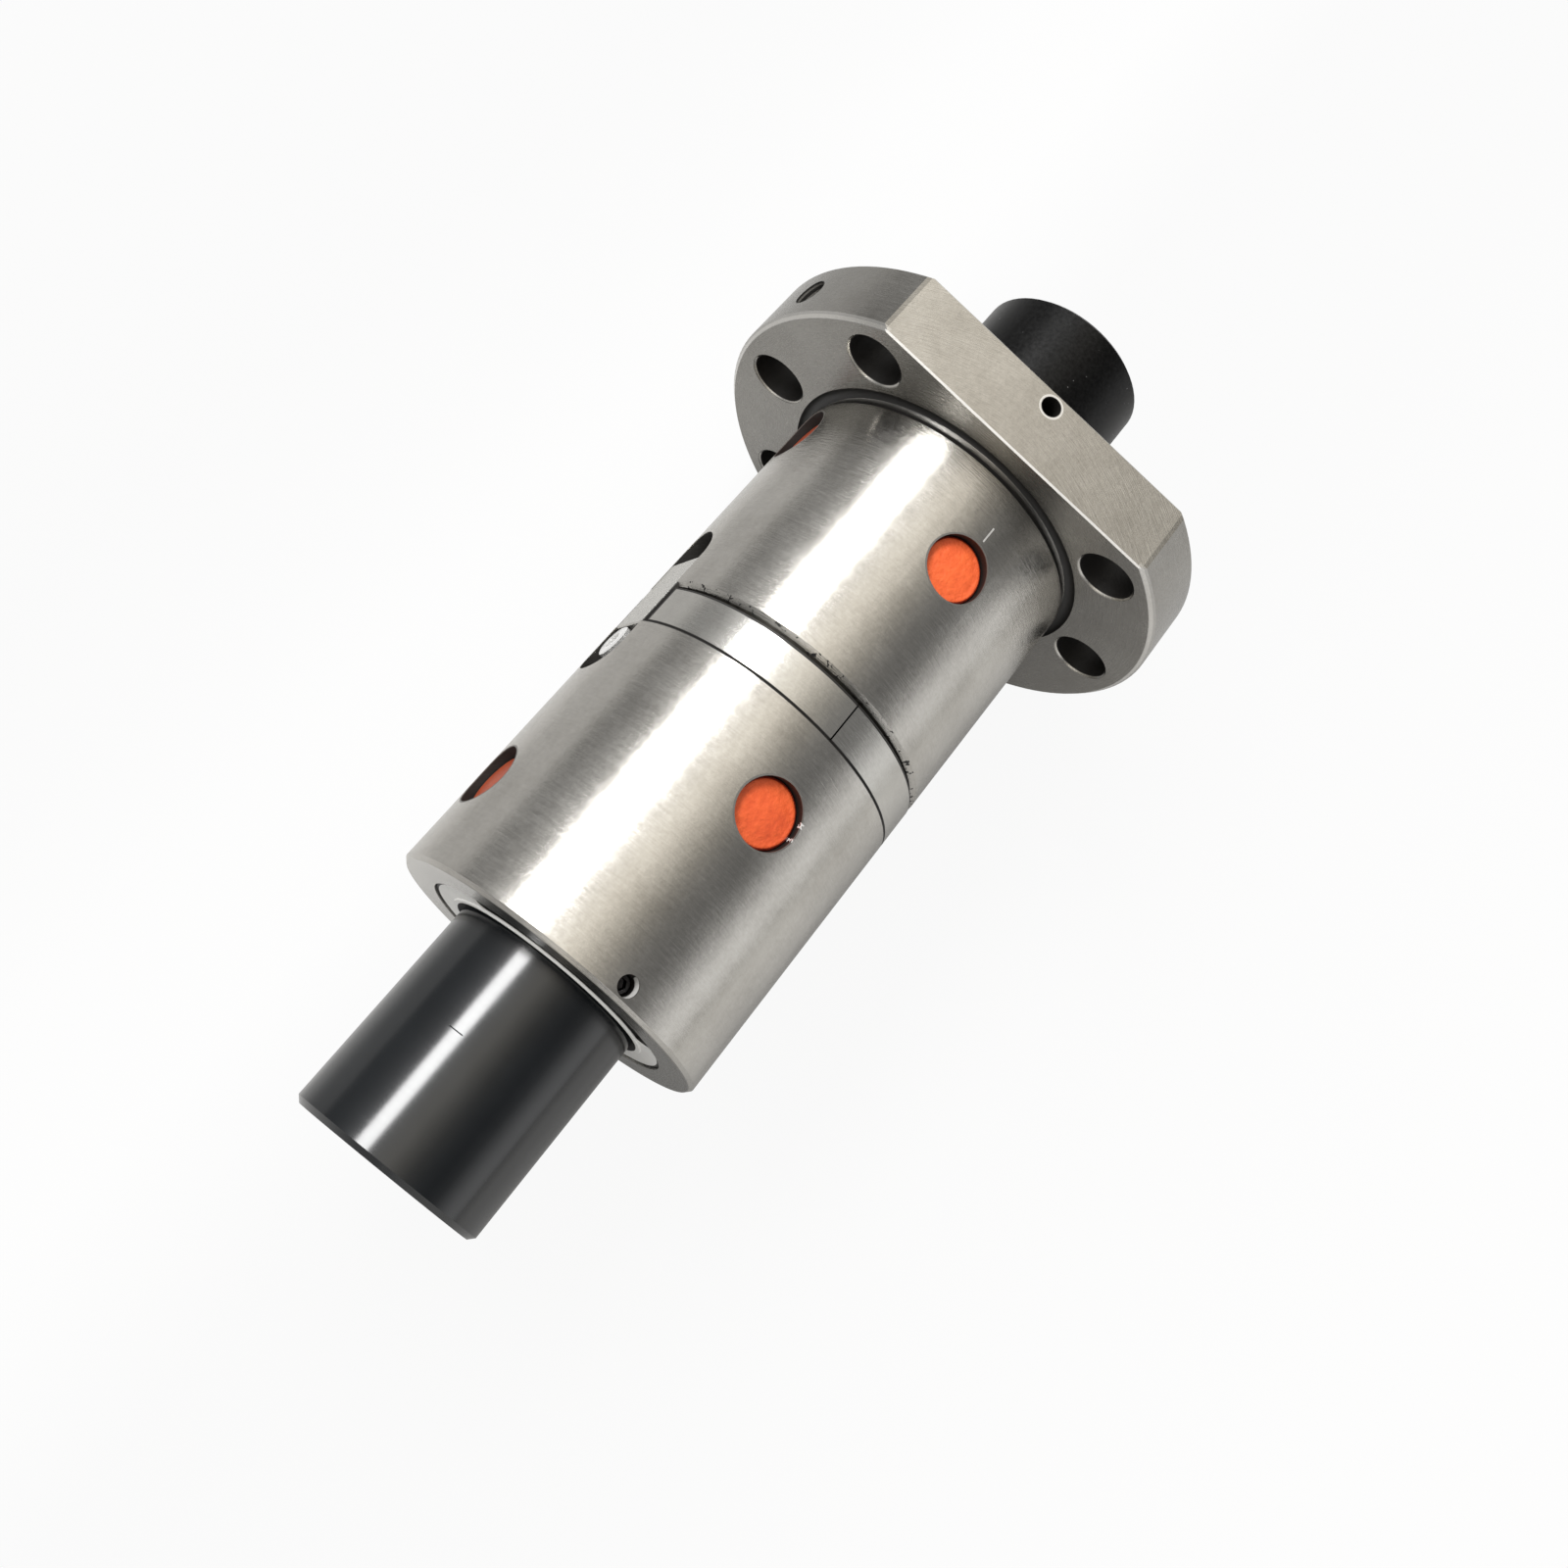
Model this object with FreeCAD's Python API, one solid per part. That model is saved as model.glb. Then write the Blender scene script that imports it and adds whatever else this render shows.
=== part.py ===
"""Preloaded double ball nut for a 32 x 5 ball screw, carried on its shipping arbor.

Two ball nuts stand back to back with a split spacer and a shim between them, and a key keeps
them from turning against each other. Each nut holds three ball circuits. In a circuit the balls
run once round the helical raceway, and a button set into the nut wall lifts them over the crest
of the screw thread and back to where they started. A plastic arbor fills the bore in place of
the screw and keeps the balls in.

Frame: X is the axis of the nuts and points from the rear nut towards the flange. The origin is
on the axis, in the face of the flange that bolts against a housing. +Z is square to the flat
on the flange that looks upwards. Angles are taken about X, from +Y towards +Z. Millimetres.
"""
import FreeCAD
import Part
import itertools
import math
import os

# Thread and balls
LEAD = 5.0                      # right-hand helix, advance per turn
THREAD_START_X = -2.6           # where the crest of the screw thread crosses angle 0
BALL_D = 3.175
BALL_PLAY = 0.02                # spare length in a circuit, as a share of the ball
ARBOR_D = 29.2
ARBOR_TO_BALL = 0.08
GROOVE_CLEARANCE = 0.06         # round a ball, in the raceway
CROSSING_CLEARANCE = 0.15       # round a ball, in a return button
GROOVE_STEP = 12.0              # the raceway is cut in short flats, so many degrees each
BORE_BELOW_PITCH = 0.2          # the lands stop this much inside the ball centres
CREST_BELOW_BORE = 0.3          # the screw crest clears the nut bore by this much
LIFT_CLEARANCE = 0.1            # ball over crest, in the crossing

# Circuits: (angle of the return button, whole turns from the thread's start)
FLANGE_CIRCUITS = ((12.0, -1), (102.0, -3), (237.0, -5))
REAR_CIRCUITS = ((105.0, -12), (240.0, -14), (15.0, -15))

# Nut bodies, along X
NUT_D = 50.0
FLANGE_BODY_L = 40.7            # cylindrical part of the flanged nut
SHIM_T = 0.7
SPACER_L = 6.6
REAR_NUT_L = 44.0
END_CHAMFER = 0.6               # free ends of the nuts
JOINT_CHAMFER = 0.2             # edges that meet the spacer
SHIM_SIDE_CHAMFER = 0.7         # edge of the flanged nut that meets the shim
SPACER_BORE_D = 36.0
SHIM_D = 46.4
SEAM_ANGLE = 180.0              # where the round faces of turned pieces close

# Flange
FLANGE_D = 80.0
FLANGE_T = 12.0
FLATS_WIDTH = 62.0
FLANGE_CHAMFER = 0.8            # turned, round the rim
FLAT_CHAMFER = 0.25             # left by deburring, along the flats
BOLT_CIRCLE_D = 65.0
BOLT_HOLE_D = 9.0
BOLT_ANGLES = (0.0, 45.0, 135.0, 180.0, 225.0, 315.0)
HOLE_CHAMFER = 0.35
RELIEF_R = 1.15                 # round relief turned into the corner of body and flange
RELIEF_OFFSET = 0.45            # of its middle, out from the body and back from the face
OIL_PORT_D = 5.0
OIL_PORT_DEPTH = 16.0
OIL_CHANNEL_D = 2.4
OIL_PORT_ANGLE = 22.5
OIL_PORT_SHARE = 0.5            # of the flange thickness, from the mounting face

# Return buttons and their seals
BUTTON_D = 10.0
BUTTON_CLEARANCE = 0.03
BUTTON_ROOF = 1.8               # metal left above the crossing
BUTTON_SLOT_W = 1.2
BUTTON_SLOT_DEPTH = 0.8
SEAL_RECESS = 1.6
SEAL_CHAMFER = 0.4

# Key across both nuts
KEY_ANGLE = 12.5
KEY_W = 10.0
KEY_FLOOR_DEPTH = 4.6           # below the top of the nut
KEY_TOP_DEPTH = 0.55
KEY_FOOT_T = 1.2
KEY_SIDE_CLEARANCE = 0.03
KEYWAY_IN_REAR_NUT = 9.5
KEYWAY_IN_FLANGE_NUT = 11.2
KEY_END_GAP = 5.6               # free keyway beyond the key, in the flanged nut
KEY_FOOT_GAP = 1.3              # free keyway beyond the foot, in the rear nut
SPACER_TO_KEY = 1.3
KEY_SCREW_D = 3.0
KEY_SCREW_HEAD_D = 5.5
KEY_SCREW_HEAD_H = 3.0
KEY_SCREW_SOCKET = 2.5
KEY_SCREW_BITE = 3.2            # thread depth below the keyway's floor

# Spacer joints
SPACER_JOINT_OFFSET = 92.5      # from the key, to each side
SPACER_KERF = 0.25

# Wipers and the set screws that hold them
WIPER_D = 39.0
WIPER_FIT = 0.05
WIPER_CHAMFER = 0.4
WIPER_T = 4.0
WIPER_RECESS = 0.4
WIPER_TO_ARBOR = 0.1
WIPER_RELIEF = 0.8
SET_SCREW_D = 3.0
SET_SCREW_FIT = 0.05
SET_SCREW_L = 3.0
SET_SCREW_SOCKET = 1.5
REAR_SET_SCREW_ANGLE = 104.7
FLANGE_SET_SCREW_ANGLE = 90.0

# Arbor
ARBOR_WALL = 2.7
ARBOR_BEYOND_REAR = 31.4
ARBOR_BEYOND_FLANGE = 26.3
ARBOR_CHAMFER = 0.8

# Radii and places that follow
NUT_R = NUT_D / 2
BALL_R = BALL_D / 2
ARBOR_R = ARBOR_D / 2
PITCH_R = ARBOR_R + ARBOR_TO_BALL + BALL_R
BORE_R = PITCH_R - BORE_BELOW_PITCH
LIFT = BORE_R - CREST_BELOW_BORE + BALL_R + LIFT_CLEARANCE - PITCH_R
BUTTON_R = BUTTON_D / 2
BUTTON_TOP_R = PITCH_R + LIFT + BALL_R + CROSSING_CLEARANCE + BUTTON_ROOF
SEAL_TOP_R = NUT_R - SEAL_RECESS
CROSSING_HALF_ANGLE = math.degrees(math.asin(math.sqrt(BUTTON_R ** 2 - (LEAD / 2) ** 2) / PITCH_R))
KEY_FLOOR_R = NUT_R - KEY_FLOOR_DEPTH
KEY_TOP_R = NUT_R - KEY_TOP_DEPTH
WIPER_R = WIPER_D / 2

FLANGE_NUT_REAR_X = -FLANGE_BODY_L
SPACER_FRONT_X = FLANGE_NUT_REAR_X - SHIM_T
REAR_NUT_FRONT_X = SPACER_FRONT_X - SPACER_L
REAR_NUT_END_X = REAR_NUT_FRONT_X - REAR_NUT_L
KEYWAY_START_X = REAR_NUT_FRONT_X - KEYWAY_IN_REAR_NUT
KEYWAY_END_X = FLANGE_NUT_REAR_X + KEYWAY_IN_FLANGE_NUT
KEY_SHOULDER_X = REAR_NUT_FRONT_X - SPACER_KERF
KEY_FOOT_END_X = KEYWAY_START_X + KEY_FOOT_GAP
KEY_SCREW_X = KEY_SHOULDER_X - KEY_SCREW_HEAD_D / 2 - 2 * SPACER_KERF
WIPER_POCKET_DEPTH = WIPER_T + WIPER_RECESS


def vector(x, y, z):
    return FreeCAD.Vector(x, y, z)


AXIS = vector(1, 0, 0)
ORIGIN = vector(0, 0, 0)


def polar(x, angle, radius):
    """Point at a distance from the axis, at an angle about it."""
    a = math.radians(angle)
    return vector(x, radius * math.cos(a), radius * math.sin(a))


def turned(profile):
    """Solid of revolution about X from (x, radius) corners, its seam clear of the holes and the key."""
    corners = [vector(x, r, 0) for x, r in profile]
    face = Part.Face(Part.makePolygon(corners + corners[:1]))
    return at_angle(face.revolve(ORIGIN, AXIS, 360), SEAM_ANGLE)


def ring(x0, x1, inner_r, outer_r, chamfer0, chamfer1):
    """Turned ring with its two outer edges chamfered."""
    return turned([(x0, inner_r), (x0, outer_r - chamfer0), (x0 + chamfer0, outer_r),
                   (x1 - chamfer1, outer_r), (x1, outer_r - chamfer1), (x1, inner_r)])


def bar(x0, x1, radius):
    return Part.makeCylinder(radius, x1 - x0, vector(x0, 0, 0), AXIS)


def upright(x, inner_r, outer_r, radius):
    """Cylinder standing on the axis at angle 0, from one distance to another."""
    return Part.makeCylinder(radius, outer_r - inner_r, vector(x, inner_r, 0), vector(0, 1, 0))


def at_angle(shape, angle):
    """Turn a shape that was drawn at angle 0 about the axis."""
    turned_shape = shape.copy()
    turned_shape.rotate(ORIGIN, AXIS, angle)
    return turned_shape


def hexagonal_socket(x, top_r, depth, across_flats):
    """Prism that cuts a hexagon socket into the top of an upright screw."""
    corner_r = across_flats / math.sqrt(3)
    corners = []
    for i in range(6):
        a = math.radians(60 * i)
        corners.append(vector(x + corner_r * math.cos(a), top_r - depth, corner_r * math.sin(a)))
    face = Part.Face(Part.makePolygon(corners + corners[:1]))
    return face.extrude(vector(0, 2 * depth, 0))


def swept_groove(points, clearance):
    """Cutter for a ball groove through the points: six flats, two of them meeting at its floor."""
    along = (points[1] - points[0]).normalize()
    outwards = vector(0, points[0].y, points[0].z)
    outwards = (outwards - along * outwards.dot(along)).normalize()
    sideways = along.cross(outwards)
    corner_r = (BALL_R + clearance) / math.cos(math.pi / 6)
    corners = []
    for i in range(6):
        a = math.pi * i / 3
        corners.append(points[0] + outwards * (corner_r * math.cos(a)) + sideways * (corner_r * math.sin(a)))
    section = Part.makePolygon(corners + corners[:1])
    return Part.makePolygon(points).makePipeShell([section], True, False, 1)


# The thread


def crest_x(angle):
    """Place of the screw's crest at an angle counted on through whole turns."""
    return THREAD_START_X + LEAD * angle / 360


def track_point(angle, radius=PITCH_R):
    """Ball centre in the raceway, half a lead in front of the crest."""
    return polar(crest_x(angle) + LEAD / 2, angle, radius)


def crossing_point(button_angle, s):
    """Ball centre in the return button, for s from -1 at its entry to 1 at its exit."""
    angle = button_angle + s * CROSSING_HALF_ANGLE
    step = LEAD / 2 * math.sin(math.pi * s / 2)
    rise = LIFT * math.cos(math.pi * s / 2) ** 2
    return polar(crest_x(angle) - step, angle, PITCH_R + rise)


def raceway_angles(button_angle, run_out, step):
    """Angles along the one turn of raceway that a circuit uses."""
    start = button_angle - 360 + CROSSING_HALF_ANGLE - run_out
    end = button_angle - CROSSING_HALF_ANGLE + run_out
    count = math.ceil((end - start) / step)
    return [start + (end - start) * i / count for i in range(count + 1)]


def raceway_cutter(button_angle):
    """Helical groove whose short flats touch the ball path from outside, so no ball rubs."""
    corner_r = PITCH_R / math.cos(math.radians(GROOVE_STEP / 2))
    angles = raceway_angles(button_angle, GROOVE_STEP / 3, GROOVE_STEP)
    return swept_groove([track_point(angle, corner_r) for angle in angles], GROOVE_CLEARANCE)


def crossing_cutter(button_angle):
    """S-shaped groove that joins the two ends of a circuit's turn."""
    run_out = 2 * CROSSING_HALF_ANGLE / 3
    entry = [track_point(button_angle - CROSSING_HALF_ANGLE - run_out * i / 2) for i in (2, 1)]
    inside = [crossing_point(button_angle, -1 + i / 5) for i in range(11)]
    leave = [track_point(button_angle - 360 + CROSSING_HALF_ANGLE + run_out * i / 2) for i in (1, 2)]
    return swept_groove(entry + inside + leave, CROSSING_CLEARANCE)


def circuit_centres(button_angle):
    """Centres of the balls, evenly spaced round a closed circuit."""
    path = [track_point(angle) for angle in raceway_angles(button_angle, 0.0, 3.0)]
    path += [crossing_point(button_angle, -1 + i / 12) for i in range(1, 25)]
    lengths = [a.distanceToPoint(b) for a, b in zip(path, path[1:])]
    total = sum(lengths)
    count = int(total / (BALL_D * (1 + BALL_PLAY)))
    centres = []
    passed = 0.0
    for start, end, length in zip(path, path[1:], lengths):
        while len(centres) < count and passed + length > len(centres) * total / count:
            share = (len(centres) * total / count - passed) / length
            centres.append(start + (end - start) * share)
        passed += length
    return centres


def circuit_angles(circuits):
    return [angle + 360 * turns for angle, turns in circuits]


# Balls


def faceted_ball():
    """Ball as an icosahedron inside its sphere, so that all the balls together stay light."""
    golden = (1 + math.sqrt(5)) / 2
    scale = BALL_R / math.hypot(1, golden)
    corners = []
    for a in (-1, 1):
        for b in (-golden, golden):
            corners += [vector(0, a, b) * scale, vector(a, b, 0) * scale, vector(b, 0, a) * scale]
    edge = 2 * scale * 1.01
    faces = []
    for triangle in itertools.combinations(corners, 3):
        if all(p.distanceToPoint(q) < edge for p, q in itertools.combinations(triangle, 2)):
            faces.append(Part.Face(Part.makePolygon(triangle + triangle[:1])))
    return Part.Solid(Part.Shell(faces))


def ball_circuit(button_angle):
    ball = faceted_ball()
    balls = []
    for centre in circuit_centres(button_angle):
        placed = ball.copy()
        placed.translate(centre)
        balls.append(placed)
    return Part.makeCompound(balls)


# Return buttons and their seals


def return_button(button_angle):
    """Button in the nut wall: curved to the bore, with the crossing in its inner end."""
    x = crest_x(button_angle)
    radius = BUTTON_R - BUTTON_CLEARANCE
    button = upright(x, BORE_R - BALL_R, BUTTON_TOP_R, radius)
    slot = Part.makeBox(BUTTON_D, BUTTON_SLOT_DEPTH, BUTTON_SLOT_W,
                        vector(x - BUTTON_R, BUTTON_TOP_R - BUTTON_SLOT_DEPTH, -BUTTON_SLOT_W / 2))
    button = at_angle(button.cut(slot), button_angle)
    bore = bar(x - BUTTON_D, x + BUTTON_D, BORE_R)
    return button.cut(bore).cut(crossing_cutter(button_angle))


def seal_plug(button_angle):
    """Plastic plug over a return button, a little below the skin of the nut."""
    plug = upright(crest_x(button_angle), BUTTON_TOP_R, SEAL_TOP_R, BUTTON_R - BUTTON_CLEARANCE)
    rim = [e for e in plug.Edges if e.BoundBox.YMin > SEAL_TOP_R - SEAL_CHAMFER]
    return at_angle(plug.makeChamfer(SEAL_CHAMFER, rim), button_angle)


def with_circuits(nut, circuits):
    """Cut the raceways and the button holes into a nut."""
    for button_angle in circuit_angles(circuits):
        nut = nut.cut(raceway_cutter(button_angle))
        hole = upright(crest_x(button_angle), BORE_R - BALL_R, NUT_R + BALL_R, BUTTON_R)
        nut = nut.cut(at_angle(hole, button_angle))
    return nut


# Key and keyway


def round_ended(x0, x1, width, inner_r, outer_r, both_ends):
    """Flat bar along X at angle 0, with one or both ends round."""
    r = width / 2
    shape = upright(x0 + r, inner_r, outer_r, r)
    end = x1 - r if both_ends else x1
    height = outer_r - inner_r
    shape = shape.fuse(Part.makeBox(end - x0 - r, height, width, vector(x0 + r, inner_r, -r)))
    if both_ends:
        shape = shape.fuse(upright(x1 - r, inner_r, outer_r, r))
    return shape.removeSplitter()


def keyway():
    slot = round_ended(KEYWAY_START_X, KEYWAY_END_X, KEY_W, KEY_FLOOR_R, NUT_R + KEY_W, True)
    return at_angle(slot, KEY_ANGLE)


def nut_key():
    """Stepped key: the block fits both keyways and the thin foot takes the screw."""
    width = KEY_W - 2 * KEY_SIDE_CLEARANCE
    foot_top_r = KEY_FLOOR_R + KEY_FOOT_T
    foot = round_ended(KEY_FOOT_END_X, KEY_SHOULDER_X, width, KEY_FLOOR_R, foot_top_r, False)
    foot = foot.cut(upright(KEY_SCREW_X, KEY_FLOOR_R, foot_top_r, KEY_SCREW_D * 0.57))
    block_end_x = KEYWAY_END_X - KEY_END_GAP
    block = Part.makeBox(block_end_x - KEY_SHOULDER_X, KEY_TOP_R - KEY_FLOOR_R, width,
                         vector(KEY_SHOULDER_X, KEY_FLOOR_R, -width / 2))
    top_edges = [e for e in block.Edges if e.BoundBox.YMin > KEY_TOP_R - JOINT_CHAMFER]
    block = block.makeChamfer(JOINT_CHAMFER, top_edges)
    return at_angle(block.fuse(foot).removeSplitter(), KEY_ANGLE)


def key_screw():
    seat_r = KEY_FLOOR_R + KEY_FOOT_T
    top_r = seat_r + KEY_SCREW_HEAD_H
    head = upright(KEY_SCREW_X, seat_r, top_r, KEY_SCREW_HEAD_D / 2)
    rim = [e for e in head.Edges if e.BoundBox.YMin > top_r - JOINT_CHAMFER]
    head = head.makeChamfer(JOINT_CHAMFER, rim)
    head = head.cut(hexagonal_socket(KEY_SCREW_X, top_r, KEY_SCREW_HEAD_H / 2, KEY_SCREW_SOCKET))
    shank = upright(KEY_SCREW_X, KEY_FLOOR_R - KEY_SCREW_BITE, seat_r, KEY_SCREW_D / 2)
    return at_angle(head.fuse(shank), KEY_ANGLE)


def key_screw_hole():
    depth_r = KEY_FLOOR_R - KEY_SCREW_BITE
    return at_angle(upright(KEY_SCREW_X, depth_r, NUT_R, KEY_SCREW_D / 2), KEY_ANGLE)


def key_passage():
    """Room that the spacer and the shim leave beside the key."""
    width = KEY_W + 2 * SPACER_TO_KEY
    room = Part.makeBox(SPACER_L + 2 * SHIM_T + LEAD, NUT_R, width,
                        vector(REAR_NUT_FRONT_X - LEAD / 2, 0, -width / 2))
    return at_angle(room, KEY_ANGLE)


# Spacer


def spacer_joint(angle):
    kerf = Part.makeBox(3 * SPACER_L, NUT_D, SPACER_KERF,
                        vector(REAR_NUT_FRONT_X - SPACER_L, 0, -SPACER_KERF / 2))
    return at_angle(kerf, angle)


def spacer_segments():
    """Split spacer: a half ring opposite the key and two short segments beside it."""
    spacer = ring(REAR_NUT_FRONT_X, SPACER_FRONT_X, SPACER_BORE_D / 2, NUT_R, JOINT_CHAMFER,
                  JOINT_CHAMFER)
    spacer = spacer.cut(key_passage())
    for side in (-1, 1):
        spacer = spacer.cut(spacer_joint(KEY_ANGLE + side * SPACER_JOINT_OFFSET))
    names = {"spacer_upper_segment": 1, "spacer_lower_segment": -1}
    segments = {}
    for solid in spacer.Solids:
        middle = at_angle(solid, -KEY_ANGLE).CenterOfMass
        name = "spacer_half_ring"
        if middle.y > -SPACER_BORE_D / 4:
            name = next(n for n, side in names.items() if side * middle.z > 0)
        segments[name] = solid
    return segments


def preload_shim():
    shim = turned([(SPACER_FRONT_X, SPACER_BORE_D / 2), (SPACER_FRONT_X, SHIM_D / 2),
                   (FLANGE_NUT_REAR_X, SHIM_D / 2), (FLANGE_NUT_REAR_X, SPACER_BORE_D / 2)])
    return shim.cut(key_passage())


# Wipers


def wiper(outer_x, inwards):
    """Plastic wiper with its lip outside; inwards is +1 or -1 along X from its outer face."""
    r = WIPER_R - WIPER_FIT
    lip_r = ARBOR_R + WIPER_TO_ARBOR
    profile = [(0, lip_r), (0, r - WIPER_CHAMFER), (WIPER_CHAMFER, r), (WIPER_T, r),
               (WIPER_T, lip_r + WIPER_RELIEF), (WIPER_T / 2, lip_r)]
    return turned([(outer_x + inwards * x, radius) for x, radius in profile])


def wiper_middle_x(end_x, inwards):
    return end_x + inwards * (WIPER_RECESS + WIPER_T / 2)


def set_screw(x, angle):
    """Set screw whose flat point bears on the wiper."""
    screw = upright(x, WIPER_R, WIPER_R + SET_SCREW_L, SET_SCREW_D / 2 - SET_SCREW_FIT)
    socket = hexagonal_socket(x, WIPER_R + SET_SCREW_L, SET_SCREW_L / 3, SET_SCREW_SOCKET)
    return at_angle(screw.cut(socket), angle)


def set_screw_hole(x, angle, outer_r):
    return at_angle(upright(x, WIPER_R / 2, outer_r, SET_SCREW_D / 2), angle)


# Nuts


def flange_plate():
    """Turned flange with a chamfered rim, then two flats milled on it and deburred."""
    plate = ring(0, FLANGE_T, BORE_R / 2, FLANGE_D / 2, FLANGE_CHAMFER, FLANGE_CHAMFER)
    slab = Part.makeBox(FLANGE_T, FLANGE_D, FLATS_WIDTH, vector(0, -FLANGE_D / 2, -FLATS_WIDTH / 2))
    long_edges = [e for e in slab.Edges if e.BoundBox.YLength > FLATS_WIDTH]
    return plate.common(slab.makeChamfer(FLAT_CHAMFER, long_edges))


def corner_relief():
    """Round relief turned into the corner, half in the body and half in the flange face."""
    return Part.makeTorus(NUT_R + RELIEF_OFFSET, RELIEF_R, vector(-RELIEF_OFFSET, 0, 0), AXIS)


def bolt_hole(angle):
    """Through hole for a fixing screw, with both rims broken."""
    r = BOLT_HOLE_D / 2
    c = HOLE_CHAMFER
    hole = turned([(-c, 0), (-c, r + 2 * c), (c, r), (FLANGE_T - c, r), (FLANGE_T + c, r + 2 * c),
                   (FLANGE_T + c, 0)])
    hole.translate(polar(0, angle, BOLT_CIRCLE_D / 2))
    return hole


def oil_port():
    """Tapped port in the flange rim, with a fine channel on into the bore."""
    x = FLANGE_T * OIL_PORT_SHARE
    floor_r = FLANGE_D / 2 - OIL_PORT_DEPTH
    port = upright(x, floor_r, FLANGE_D / 2 + HOLE_CHAMFER, OIL_PORT_D / 2)
    channel = upright(x, BORE_R - BALL_R, floor_r, OIL_CHANNEL_D / 2)
    return at_angle(port.fuse(channel), OIL_PORT_ANGLE)


def wiper_pocket(end_x, inwards):
    inner_x = end_x + inwards * WIPER_POCKET_DEPTH
    outer_x = end_x - inwards * WIPER_POCKET_DEPTH
    return bar(min(inner_x, outer_x), max(inner_x, outer_x), WIPER_R)


def flange_nut():
    body = ring(FLANGE_NUT_REAR_X, FLANGE_T / 2, BORE_R / 2, NUT_R, SHIM_SIDE_CHAMFER, 0.0)
    nut = body.fuse(flange_plate()).cut(bar(FLANGE_NUT_REAR_X, FLANGE_T, BORE_R))
    nut = nut.cut(corner_relief()).cut(wiper_pocket(FLANGE_T, -1))
    for angle in BOLT_ANGLES:
        nut = nut.cut(bolt_hole(angle))
    nut = nut.cut(oil_port()).cut(keyway())
    screw_x = wiper_middle_x(FLANGE_T, -1)
    nut = nut.cut(set_screw_hole(screw_x, FLANGE_SET_SCREW_ANGLE, FLANGE_D / 2))
    return with_circuits(nut, FLANGE_CIRCUITS)


def rear_nut():
    nut = ring(REAR_NUT_END_X, REAR_NUT_FRONT_X, BORE_R, NUT_R, END_CHAMFER, JOINT_CHAMFER)
    nut = nut.cut(wiper_pocket(REAR_NUT_END_X, 1)).cut(keyway()).cut(key_screw_hole())
    screw_x = wiper_middle_x(REAR_NUT_END_X, 1)
    nut = nut.cut(set_screw_hole(screw_x, REAR_SET_SCREW_ANGLE, NUT_R + HOLE_CHAMFER))
    return with_circuits(nut, REAR_CIRCUITS)


def arbor_tube():
    x0 = REAR_NUT_END_X - ARBOR_BEYOND_REAR
    x1 = FLANGE_T + ARBOR_BEYOND_FLANGE
    return ring(x0, x1, ARBOR_R - ARBOR_WALL, ARBOR_R, ARBOR_CHAMFER, ARBOR_CHAMFER)


def all_parts():
    parts = {
        "flange_nut": flange_nut(),
        "rear_nut": rear_nut(),
        "preload_shim": preload_shim(),
        "nut_key": nut_key(),
        "key_screw": key_screw(),
        "flange_wiper": wiper(FLANGE_T - WIPER_RECESS, -1),
        "rear_wiper": wiper(REAR_NUT_END_X + WIPER_RECESS, 1),
        "flange_wiper_screw": set_screw(wiper_middle_x(FLANGE_T, -1), FLANGE_SET_SCREW_ANGLE),
        "rear_wiper_screw": set_screw(wiper_middle_x(REAR_NUT_END_X, 1), REAR_SET_SCREW_ANGLE),
        "arbor_tube": arbor_tube(),
    }
    parts.update(spacer_segments())
    for number, button_angle in enumerate(circuit_angles(FLANGE_CIRCUITS + REAR_CIRCUITS), 1):
        parts["return_button_%d" % number] = return_button(button_angle)
        parts["seal_plug_%d" % number] = seal_plug(button_angle)
        parts["ball_circuit_%d" % number] = ball_circuit(button_angle)
    return parts


os.makedirs("parts", exist_ok=True)
for name, shape in all_parts().items():
    shape.exportStep("parts/%s.step" % name)
    state = "valid" if shape.isValid() else "not valid"
    print(name, len(shape.Solids), "solids", round(shape.Volume, 1), "mm3", state)
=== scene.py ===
# %% [markdown]
# # Dressing a preloaded double ball nut
# The part is a pair of ball nuts for a ball screw, stored on a black plastic arbor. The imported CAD
# model gives every solid its place, in metres: X runs along the nuts towards the flange, and the
# flat of the flange that faces the camera looks along +Z. This lesson adds what the CAD model leaves
# out: fine pieces such as screw heads and seals, and the finish of each surface.

# %% Load the frame
import math

import bmesh
import bpy
from mathutils import Matrix, Vector


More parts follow.
